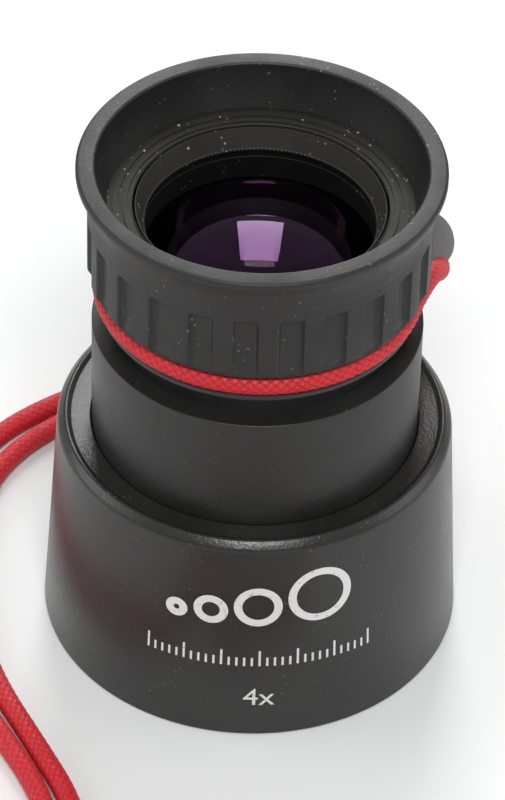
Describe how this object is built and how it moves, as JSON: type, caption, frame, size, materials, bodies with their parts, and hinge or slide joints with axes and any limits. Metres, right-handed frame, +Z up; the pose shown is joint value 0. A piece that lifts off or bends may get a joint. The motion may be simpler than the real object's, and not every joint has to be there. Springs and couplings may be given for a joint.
{
  "type": "viewing loupe",
  "caption": "Black stand magnifier for film: conical skirt, straight barrel, turning ribbed eyecup with a convex coated lens, and a red braided neck cord.",
  "frame": {"origin": "centre of the skirt's base rim, on the surface that the loupe stands on", "axes": "+Z up along the optical axis to the eye, -Y towards the side that carries the marking, +X to its right"},
  "size_m": [0.0804, 0.1384, 0.0829],
  "materials": {
    "skirt_plastic": "fine textured, satin",
    "barrel_plastic": "fine grained, matt",
    "seal_rubber": "smooth",
    "guide_metal": "black anodised, satin",
    "washer_plastic": "plain",
    "spring_steel": "plain",
    "cell_metal": "black anodised, matt",
    "baffle_black": "matt optical black",
    "eyecup_rubber": "moulded, matt",
    "lens_glass": "polished, coated",
    "key_brass": "machined",
    "clamp_plastic": "smooth",
    "cord_braid": "braided"
  },
  "bodies": {
    "skirt": {"skirt": "skirt_plastic"},
    "barrel": {"barrel": "barrel_plastic", "barrel_o_ring": "seal_rubber", "guide_tube": "guide_metal", "thrust_washer": "washer_plastic", "retaining_clip": "spring_steel", "cord_clamp_cap": "clamp_plastic", "cord_clamp_body": "clamp_plastic", "cord_turn": "cord_braid", "neck_cord_outer": "cord_braid", "neck_cord_inner": "cord_braid"},
    "focus_ring": {"focus_ring": "cell_metal", "baffle_ring": "baffle_black", "eyecup": "eyecup_rubber"},
    "lens_cell": {"lens_cell": "cell_metal", "front_retaining_ring": "baffle_black", "eye_lens": "lens_glass", "field_lens": "lens_glass", "spacer_ring": "cell_metal", "rear_retaining_ring": "cell_metal", "guide_keys": "key_brass", "key_screws": "spring_steel"}
  },
  "joints": [
    {"name": "skirt_release", "type": "slide", "parent": "skirt", "child": "barrel", "axis": [0, 0, 1], "range_m": [0, 0.0125]},
    {"name": "focus_turn", "type": "hinge", "parent": "barrel", "child": "focus_ring", "pos_m": [0, 0, 0.07], "axis": [0, 0, 1], "range_deg": [-60, 120]},
    {"name": "focus_travel", "type": "slide", "parent": "barrel", "child": "lens_cell", "axis": [0, 0, 1], "range_m": [-0.00198, 0.00099]}
  ],
  "couplings": [
    {"joint": "focus_turn", "follows": "focus_travel", "rad_per_m": -1052.6}
  ]
}
